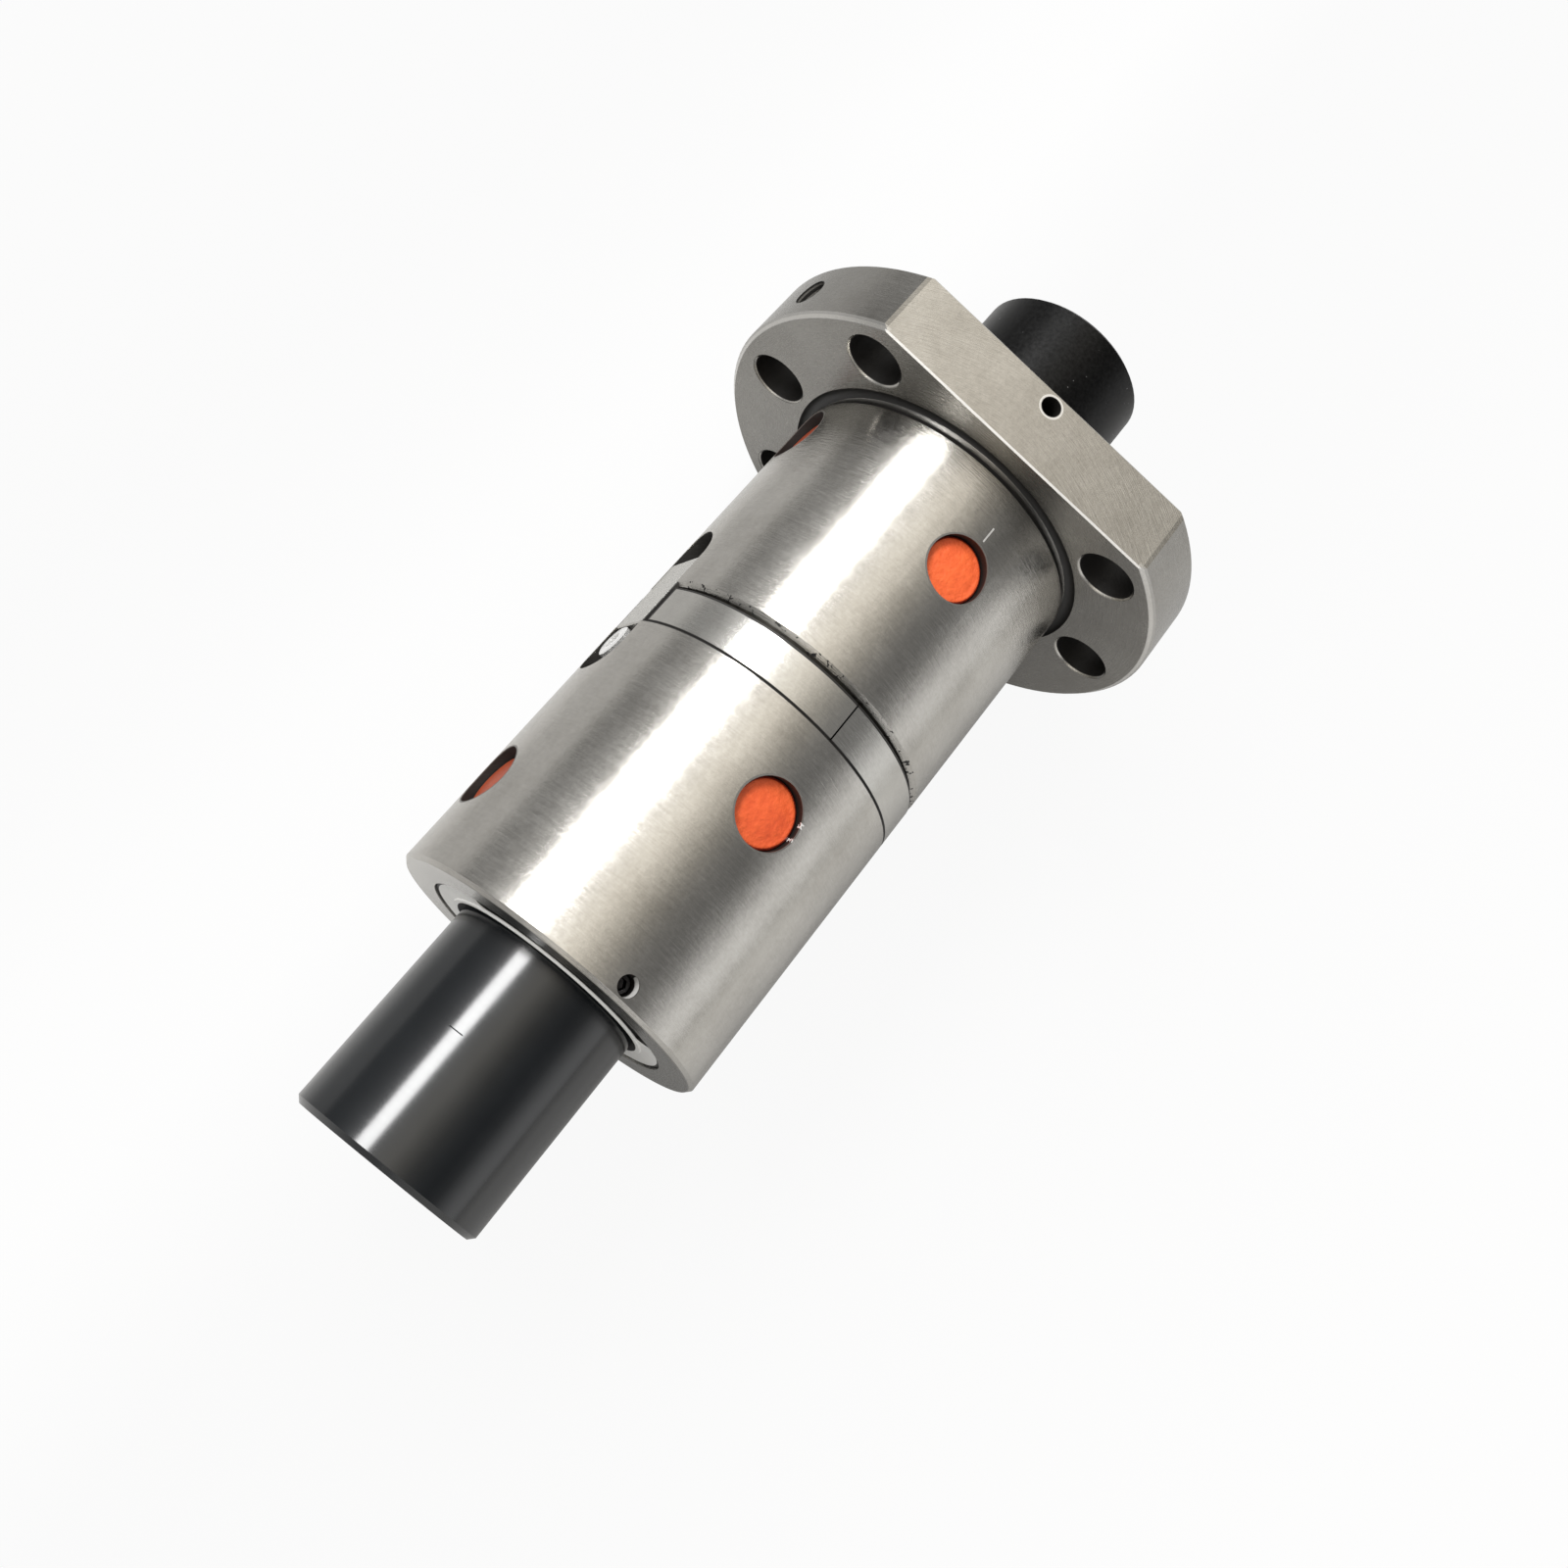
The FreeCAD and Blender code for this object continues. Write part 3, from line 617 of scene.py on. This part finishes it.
# %% Give the CAD nodes their materials
finishes = {
    "flange_nut": flange_steel, "rear_nut": rear_steel, "nut_key": key_steel,
    "spacer": spacer_steel, "preload_shim": shim_steel, "key_screw": zinc_steel,
    "flange_wiper_screw": black_oxide, "rear_wiper_screw": black_oxide,
    "flange_wiper": flange_wiper_plastic, "rear_wiper": rear_wiper_plastic,
    "return_button": button_steel, "ball_circuit": ball_steel,
    "seal_plug": plug_plastic, "arbor_tube": arbor_plastic,
}
for name, node in nodes.items():
    kinds = [kind for kind in finishes if name == kind or name.startswith(kind + "_")]
    node.data.materials.clear()
    node.data.materials.append(finishes[max(kinds, key=len)])
print("finished nodes", len(nodes))

# %% [markdown]
# Small parts are modelled as by hand: a primitive at its true size, shaped in edit mode. Helpers
# save repeating the same steps. `start` leaves only the new piece selected, `pick` selects faces
# or edges by a test of their middle and normal, and `smooth` shades all but sharp edges.

# %% Modelling helpers
def start(kind, name, **size):
    """Add a primitive, alone selected, and go into edit mode with face selection."""
    bpy.ops.object.select_all(action="DESELECT")
    getattr(bpy.ops.mesh, "primitive_" + kind + "_add")(**size)
    piece = bpy.context.object
    piece.name = name
    bpy.ops.object.transform_apply(location=True, rotation=True, scale=True)
    bpy.ops.object.mode_set(mode="EDIT")
    bpy.ops.mesh.select_mode(type="FACE")
    return piece


def pick(piece, test, kind="faces"):
    """In edit mode, select only the faces (or edges) that pass the test; returns how many."""
    bpy.ops.mesh.select_mode(type="FACE" if kind == "faces" else "EDGE")
    bpy.ops.mesh.select_all(action="DESELECT")
    mesh = bmesh.from_edit_mesh(piece.data)
    chosen = [part for part in getattr(mesh, kind) if test(part)]
    for part in chosen:
        part.select_set(True)
    bmesh.update_edit_mesh(piece.data)
    return len(chosen)


def middle(part):
    """Middle of a face or edge."""
    total = Vector()
    for corner in part.verts:
        total += corner.co
    return total / len(part.verts)


def smooth(piece, degrees):
    """Leave edit mode and shade smooth, keeping edges sharper than the angle."""
    bpy.ops.mesh.select_all(action="SELECT")
    bpy.ops.mesh.remove_doubles(threshold=0.001 * MM)
    bpy.ops.mesh.normals_make_consistent(inside=False)
    bpy.ops.object.mode_set(mode="OBJECT")
    bpy.ops.object.shade_smooth_by_angle(angle=math.radians(degrees))
    return piece


# %% [markdown]
# A model is drawn once about the Z axis and copied to every place where it is needed. Each copy has
# its own mesh, which holds the place, so that its object stays at the origin, and it stands for the
# CAD node of the same part.

# %% Placing helpers
def put(model, name, matrix, finish, replaced):
    """Place a copy of a model for a CAD node; without a finish it keeps the model's own."""
    piece = bpy.data.objects.new(name, model.data.copy())
    bpy.context.scene.collection.objects.link(piece)
    piece.data.transform(matrix)
    if matrix.determinant() < 0:
        piece.data.flip_normals()
    if finish:
        piece.data.materials.clear()
        piece.data.materials.append(finish)
    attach(piece, "nut")
    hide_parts(replaced)


def discard(model):
    bpy.data.objects.remove(model, do_unlink=True)


def radial(x, angle):
    """Matrix that stands a piece drawn along Z on the nut axis, at a place and angle."""
    return Matrix.Translation((x, 0, 0)) @ Matrix.Rotation(angle - math.pi / 2, 4, "X")


# %% [markdown]
# An orange plastic plug closes each of the six holes through which the ball returns were fitted.
# It is pressed in a little below the skin, and its pressed face is not flat: the rim is rounded,
# a shallow ring lies inside it, and the middle is crowned. A cylinder gives the wall, insets give
# the ring and the crown, and a bevel rounds the rim.

# %% Seal plugs
def seal_plug_model():
    radius, low, high = 4.97 * MM, 21.0 * MM, 23.40 * MM
    piece = start("cylinder", "seal_plug_model", vertices=72, radius=radius, depth=high - low,
                  location=(0, 0, (low + high) / 2))
    pick(piece, lambda face: face.normal.z > 0.9)
    bpy.ops.mesh.inset(thickness=0.75 * MM, depth=0.0)
    bpy.ops.mesh.inset(thickness=0.35 * MM, depth=-0.07 * MM)
    bpy.ops.mesh.inset(thickness=0.7 * MM, depth=0.10 * MM)
    for _ in range(4):
        bpy.ops.mesh.inset(thickness=0.6 * MM, depth=0.025 * MM)
    bpy.ops.mesh.poke()

    def on_rim(edge):
        return all(abs(corner.co.xy.length - radius) < 0.01 * MM
                   and corner.co.z > high - 0.01 * MM for corner in edge.verts)
    pick(piece, on_rim, "edges")
    bpy.ops.mesh.bevel(offset=0.6 * MM, segments=5, affect="EDGES")
    # The rounded rim gets a darker copy of the plug plastic, a painted shade where the hole's wall
    # shades it.
    piece.data.materials.append(plug_plastic)
    piece.data.materials.append(shaded_plug_rim_plastic)
    pick(piece, lambda face: face.normal.z < 0.93)
    piece.active_material_index = 1
    bpy.ops.object.material_slot_assign()
    return smooth(piece, 50.0)


plug_model = seal_plug_model()
for number, node_name in enumerate(plug_nodes, 1):
    at = middle_of(node_name)
    put(plug_model, "seal_plug_piece_%d" % number, radial(at.x, angle_of(at)), None, node_name)
print("seal plug faces", len(plug_model.data.polygons))
discard(plug_model)

# %% [markdown]
# A wiper ring sits in each end of the row and keeps dirt out of the balls. Seen from its end it has
# a bevelled rim, a flat face, and a raised lip that touches the screw, here the arbor. A pocket
# shaped like a crescent is sunk in the upper half of the face. One cylinder is inset step by step
# towards its middle, as a lathe tool would go, then the bore is opened by a bridge, and the
# crescent is extruded inwards and its ends are rounded by a bevel.

# %% Wiper rings
WIPER_RIM = 0.15 * MM
CRESCENT_FROM, CRESCENT_TO = 37.5, 147.5  # degrees from the nut's +Y towards +Z


def bearing(point):
    return math.degrees(math.atan2(point.y, point.x))


def wiper_model():
    """Ring about Z: its flat face at z = 0, the lip above it and the rest below."""
    outer_r, bore_r, thick, bevel = 19.45 * MM, 14.75 * MM, 4.0 * MM, 0.5 * MM
    crescent_in, crescent_out, crescent_depth = 16.25 * MM, 18.75 * MM, 1.6 * MM
    piece = start("cylinder", "wiper_model", vertices=144, radius=outer_r, depth=thick,
                  location=(0, 0, -thick / 2 - WIPER_RIM))
    pick(piece, lambda face: face.normal.z > 0.9)
    bpy.ops.mesh.inset(thickness=bevel, depth=WIPER_RIM)
    bpy.ops.mesh.inset(thickness=outer_r - bevel - crescent_out, depth=0.0)
    bpy.ops.mesh.inset(thickness=crescent_out - crescent_in, depth=0.0)
    bpy.ops.mesh.inset(thickness=0.15 * MM, depth=0.22 * MM)
    bpy.ops.mesh.inset(thickness=0.6 * MM, depth=0.0)
    bpy.ops.mesh.inset(thickness=0.7 * MM, depth=-0.9 * MM)
    pick(piece, lambda face: face.normal.z < -0.9)
    bpy.ops.mesh.inset(thickness=outer_r - bore_r, depth=0.0)
    pick(piece, lambda face: len(face.verts) > 100)
    bpy.ops.mesh.delete(type="ONLY_FACE")
    pick(piece, lambda edge: edge.is_boundary, "edges")
    bpy.ops.mesh.bridge_edge_loops()

    def in_crescent(face):
        centre = middle(face)
        off_middle = abs(centre.xy.length - (crescent_in + crescent_out) / 2)
        return (face.normal.z > 0.9 and off_middle < 0.6 * MM
                and CRESCENT_FROM < bearing(centre) < CRESCENT_TO)
    pick(piece, in_crescent)
    bpy.ops.mesh.extrude_region_move(TRANSFORM_OT_translate={"value": (0, 0, -crescent_depth)})

    def crescent_corner(edge):
        a, b = edge.verts[0].co, edge.verts[1].co
        upright_edge = (a.xy - b.xy).length < 0.01 * MM and abs(a.z - b.z) > 1.5 * MM
        on_pocket = crescent_in - 0.1 * MM < a.xy.length < crescent_out + 0.1 * MM
        from_end = min(abs(bearing(a) - CRESCENT_FROM), abs(bearing(a) - CRESCENT_TO))
        return upright_edge and on_pocket and from_end < 1.6
    print("crescent corners", pick(piece, crescent_corner, "edges"))
    bpy.ops.mesh.bevel(offset=1.0 * MM, segments=5, affect="EDGES")
    return smooth(piece, 30.0)


ring_model = wiper_model()
# Z of the model turns to -X for the rear end and to +X for the flange, and its X to the nut's Y
to_rear = Matrix(((0, 0, -1, 0), (1, 0, 0, 0), (0, 1, 0, 0), (0, 0, 0, 1)))
to_front = Matrix(((0, 0, 1, 0), (1, 0, 0, 0), (0, 1, 0, 0), (0, 0, 0, 1)))
rear_face = Matrix.Translation((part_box("rear_wiper")[0].x - WIPER_RIM, 0, 0))
front_face = Matrix.Translation((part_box("flange_wiper")[1].x + WIPER_RIM, 0, 0))
put(ring_model, "rear_wiper_ring", rear_face @ to_rear, rear_wiper_plastic, "rear_wiper")
put(ring_model, "flange_wiper_ring", front_face @ to_front, flange_wiper_plastic, "flange_wiper")
print("wiper faces", len(ring_model.data.polygons))
discard(ring_model)

# %% [markdown]
# Both kinds of screw have a hexagon socket. A six-sided cutter makes it through a Boolean modifier,
# and the cutter's blunt point leaves what a drill leaves at the bottom.

# %% Hexagon socket
def socket_cutter(across_flats, depth, top):
    cutter = start("cylinder", "socket_cutter", vertices=6, radius=across_flats / math.sqrt(3),
                   depth=2 * depth, location=(0, 0, top))
    pick(cutter, lambda face: face.normal.z < -0.9)
    bpy.ops.mesh.inset(thickness=across_flats * 0.3, depth=depth * 0.2)
    bpy.ops.object.mode_set(mode="OBJECT")
    return cutter


def cut_socket(piece, cutter):
    """Cut the socket, discard the cutter and go into edit mode."""
    bpy.ops.object.select_all(action="DESELECT")
    piece.select_set(True)
    bpy.context.view_layer.objects.active = piece
    cut = piece.modifiers.new("socket", "BOOLEAN")
    cut.object = cutter
    cut.operation = "DIFFERENCE"
    cut.solver = "EXACT"
    bpy.ops.object.modifier_apply(modifier=cut.name)
    discard(cutter)
    bpy.ops.object.mode_set(mode="EDIT")


# %% [markdown]
# The key's screw is a bright zinc-plated socket head screw. Its head is knurled, which a bought
# screw shows as fine ribs round the rim. Every second side face of a cylinder is pushed in for the
# ribs, the rim is bevelled, and the shank is extruded from the foot.

# %% Key screw
def key_screw_model():
    head_r, head_low, head_high, rim = 2.75 * MM, 21.6 * MM, 24.6 * MM, 0.16 * MM
    shank_r, shank_low = 1.5 * MM, 17.2 * MM
    ribs = 32
    piece = start("cylinder", "key_screw_model", vertices=2 * ribs, radius=head_r,
                  depth=head_high - rim - head_low, location=(0, 0, (head_low + head_high - rim) / 2))
    pick(piece, lambda face: face.normal.z > 0.9)
    bpy.ops.mesh.inset(thickness=0.28 * MM, depth=rim)
    pick(piece, lambda face: face.normal.z < -0.9)
    bpy.ops.mesh.inset(thickness=head_r - shank_r, depth=0.0)
    bpy.ops.mesh.extrude_region_move(
        TRANSFORM_OT_translate={"value": (0, 0, shank_low - head_low)})

    def rib_gap(face):
        centre = middle(face)
        step = (math.atan2(centre.y, centre.x) / (2 * math.pi) * 2 * ribs) % 2
        return abs(face.normal.z) < 0.1 and centre.z > head_low and step < 1
    print("rib gaps", pick(piece, rib_gap))
    bpy.ops.mesh.inset(thickness=0.03 * MM, depth=-0.13 * MM, use_individual=True)
    bpy.ops.object.mode_set(mode="OBJECT")
    cut_socket(piece, socket_cutter(2.5 * MM, 1.5 * MM, head_high))
    return smooth(piece, 30.0)


SCREW_TURN = 0.35
screw_model = key_screw_model()
screw_place = radial(middle_of("key_screw").x, KEY_ANGLE) @ Matrix.Rotation(SCREW_TURN, 4, "Z")
put(screw_model, "key_socket_screw", screw_place, zinc_steel, "key_screw")
print("key screw faces", len(screw_model.data.polygons))
discard(screw_model)

# %% [markdown]
# Each wiper is held by a small black set screw at the bottom of a drilled hole. It is a grub screw:
# no head, a bevelled top with a hexagon socket, and a stepped foot, which is enough to catch the
# light in the hole.

# %% Set screws
def set_screw_model():
    radius, low, high, rim = 1.45 * MM, 19.5 * MM, 22.5 * MM, 0.2 * MM
    piece = start("cylinder", "set_screw_model", vertices=40, radius=radius,
                  depth=high - rim - low, location=(0, 0, (low + high - rim) / 2))
    pick(piece, lambda face: face.normal.z > 0.9)
    bpy.ops.mesh.inset(thickness=rim, depth=rim)
    pick(piece, lambda face: face.normal.z < -0.9)
    bpy.ops.mesh.inset(thickness=0.3 * MM, depth=0.0)
    bpy.ops.mesh.inset(thickness=0.2 * MM, depth=-0.3 * MM)
    bpy.ops.object.mode_set(mode="OBJECT")
    cut_socket(piece, socket_cutter(1.5 * MM, 1.1 * MM, high))
    return smooth(piece, 30.0)


grub_model = set_screw_model()
grub_screws = {"rear_wiper_screw": "rear_grub_screw", "flange_wiper_screw": "flange_grub_screw"}
for node_name, piece_name in grub_screws.items():
    at = middle_of(node_name)
    put(grub_model, piece_name, radial(at.x, angle_of(at)), black_oxide, node_name)
print("set screw faces", len(grub_model.data.polygons))
discard(grub_model)

# %% [markdown]
# The nut is photographed in plain soft light. Polished rings show the room as bands along the axis,
# so the room is described by one thing only: how bright it is at each angle about that axis, from
# the horizon on the left over the top to the horizon on the right. A colour ramp over that angle
# leaves the bands where a photographer's white cards put them. The camera itself sees plain white,
# as the photograph's background is.

# %% Room
ROOM_LIGHT = 0.72
BRIGHTEST = 1.9
ROOM_LEVELS = [
    # degrees about the axis, brightness, warmth
    (0, 0.40, 0.0), (8, 0.40, 0.0), (18, 0.50, 0.0), (30, 0.80, 0.0), (38, 1.2, 0.0),
    (64, 1.7, 0.3), (72, 1.85, 0.7), (84, 1.85, 1.0), (95, 1.2, 1.1), (108, 0.56, 1.0),
    (121, 0.32, 0.2), (134, 0.20, 0.0), (147, 0.36, 0.0), (157, 0.92, 0.0), (166, 1.4, 0.0),
    (174, 1.5, 0.0), (180, 1.25, 0.0),
]


def seen_by(nodes, camera, mirrored):
    """How much of the plain white is shown to the camera, and to reflections and through glass."""
    path = nodes.tree.nodes.new("ShaderNodeLightPath")
    seen = {kind: Value(nodes, path.outputs["Is %s Ray" % kind])
            for kind in ("Camera", "Glossy", "Transmission")}
    return seen["Camera"] * camera + (seen["Glossy"] + seen["Transmission"]) * mirrored


def room():
    world = bpy.data.worlds.new("room")
    bpy.context.scene.world = world
    world.use_nodes = True
    sky = Nodes(world.node_tree)
    x, y, z = sky.xyz(sky.node("ShaderNodeTexCoord", output="Generated"))
    turn = z.arctan2(y) / math.pi
    stops = []
    for degrees, level, warmth in ROOM_LEVELS:
        level *= ROOM_LIGHT / BRIGHTEST
        warm = (level, level * (1 - 0.05 * warmth), level * (1 - 0.14 * warmth))
        stops.append((degrees / 180, warm))
    share = seen_by(sky, 1.0, 0.04)
    white = (1 / BRIGHTEST,) * 3
    background = sky.tree.nodes["Background"]
    sky.feed(background.inputs["Color"], sky.colour_mix(share, sky.ramp(turn, stops), white))
    background.inputs["Strength"].default_value = BRIGHTEST


room()
print("room levels", len(ROOM_LEVELS))

# %% [markdown]
# One long soft box makes the bright band along the rings and the arbor. It lies level with them and
# starts behind the arbor's rear end. The camera looks along the nuts, so it sees the box mirrored
# further on than the surface it looks at: the box runs far past the flange, and ends where its
# reflection should leave the far end of the arbor dark.

# %% Key light
def soft_box(name, x_span, direction, distance, width, radiance):
    """Rectangular lamp beside the nut axis, at an angle about it, facing it."""
    lamp = bpy.data.lights.new(name, "AREA")
    lamp.shape = "RECTANGLE"
    lamp.size = x_span[1] - x_span[0]
    lamp.size_y = width
    lamp.energy = radiance * math.pi * lamp.size * lamp.size_y
    made = bpy.data.objects.new(name, lamp)
    bpy.context.scene.collection.objects.link(made)
    outward = Vector((0, math.cos(direction), math.sin(direction)))
    along = Vector((1, 0, 0))
    turn = Matrix((along, outward.cross(along), outward)).transposed()
    middle_x = (x_span[0] + x_span[1]) / 2
    made.matrix_world = Matrix.Translation(outward * distance + along * middle_x) @ turn.to_4x4()
    return made


key_light = soft_box("key_light", x_span=(-0.17, 0.33), direction=math.radians(52.5),
                     distance=0.6, width=0.160, radiance=16.0)
print("key light watts", round(key_light.data.energy, 2))

# %% [markdown]
# The floor is a plain pale board that keeps the part's shadow. The camera sees it nearly white, and
# polished surfaces see part of that white as well. What they see of the board itself is painted with
# greys that change with the place across the axis, a painted light and shade of the room behind the
# photographer.

# %% Floor
FLOOR_GAP = 0.2 * MM
FLOOR_GREYS = [
    # place across the axis as a share of 0.4 m, grey
    (0.0, 0.66), (0.1, 0.62), (0.27, 0.46), (0.36, 0.36), (0.5, 0.31), (0.57, 0.56),
    (0.625, 0.50), (0.67, 0.36), (0.73, 0.27), (1.0, 0.29),
]


def floor():
    bpy.ops.object.select_all(action="DESELECT")
    bpy.ops.mesh.primitive_plane_add(size=6.0, location=(0, 0, cad_box[0][2] - FLOOR_GAP))
    made = bpy.context.object
    made.name = "floor"
    paint = Paint("floor_board")
    x, y, z = paint.xyz(paint.place())
    # Painted light and shade of the room: greys across the axis.
    painted_room_greys = paint.ramp(y * 2.5 + 0.5, [(share, (grey, grey, grey)) for share, grey in FLOOR_GREYS])
    paint.set(Base_Color=painted_room_greys, Roughness=0.9)
    glow = paint.tree.nodes.new("ShaderNodeEmission")
    mix = paint.tree.nodes.new("ShaderNodeMixShader")
    paint.feed(mix.inputs["Fac"], seen_by(paint, 0.93, 0.20))
    paint.tree.links.new(paint.shader.outputs[0], mix.inputs[1])
    paint.tree.links.new(glow.outputs[0], mix.inputs[2])
    paint.tree.links.new(mix.outputs[0], paint.tree.nodes["Material Output"].inputs["Surface"])
    made.data.materials.append(paint.material)
    return made


print("floor at", round(floor().location.z, 4))

# %% [markdown]
# The Standard view keeps the whites of the photograph white.

# %% View settings
bpy.context.scene.view_settings.view_transform = "Standard"
